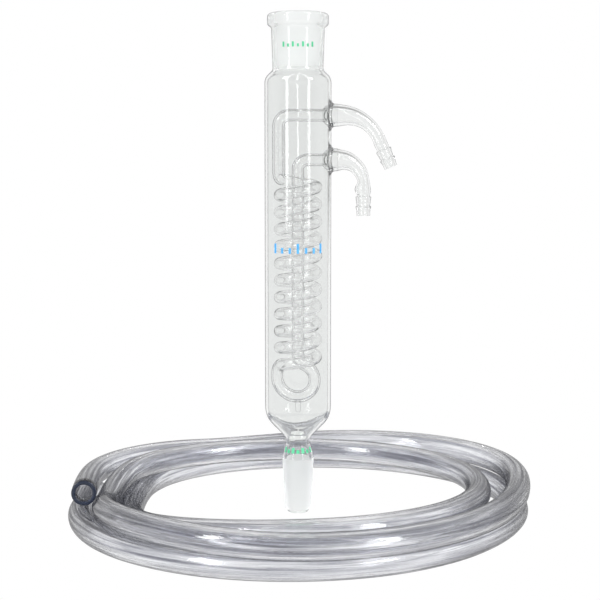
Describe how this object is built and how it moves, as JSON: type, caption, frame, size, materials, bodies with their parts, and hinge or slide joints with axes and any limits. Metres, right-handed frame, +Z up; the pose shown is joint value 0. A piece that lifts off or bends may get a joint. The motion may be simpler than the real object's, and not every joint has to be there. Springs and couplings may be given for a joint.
{
  "type": "coil condenser",
  "caption": "Glass coil condenser with ground joints at both ends, water coil in a tubular jacket, bent hose tails and a loose coil of clear hose.",
  "frame": {"origin": "on the condenser's axis, at the gauge plane of the lower ground cone, where the cone is 18.8 mm across", "axes": "+Z up along the condenser's axis, from the cone to the socket; +X towards both hose tails; the printed marks face -Y"},
  "size_m": [0.2898, 0.3116, 0.3097],
  "materials": {
    "clear_glass": "clear, fire polished",
    "ground_glass": "clear, with a finely ground joint surface",
    "blue_enamel": "fired enamel, gloss",
    "green_enamel": "fired enamel, gloss",
    "clear_hose": "smooth, translucent soft plastic"
  },
  "bodies": {
    "condenser": {"socket_joint": "ground_glass", "cone_joint": "ground_glass", "jacket": "clear_glass", "upper_ring_seal": "clear_glass", "lower_ring_seal": "clear_glass", "upper_hose_arm": "clear_glass", "lower_hose_arm": "clear_glass", "upper_hose_tail": "clear_glass", "lower_hose_tail": "clear_glass", "feed_tube": "clear_glass", "cooling_coil": "clear_glass", "bottom_loop": "clear_glass", "centre_tube": "clear_glass", "return_elbow": "clear_glass", "drip_point": "clear_glass", "length_mark": "blue_enamel", "socket_size_mark": "green_enamel", "cone_size_mark": "green_enamel"},
    "hose": {"hose_coil": "clear_hose"}
  },
  "joints": [
    {"name": "hose_lift", "type": "slide", "parent": "condenser", "child": "hose", "axis": [0, 0, 1], "range_m": [0, 0.35]}
  ]
}
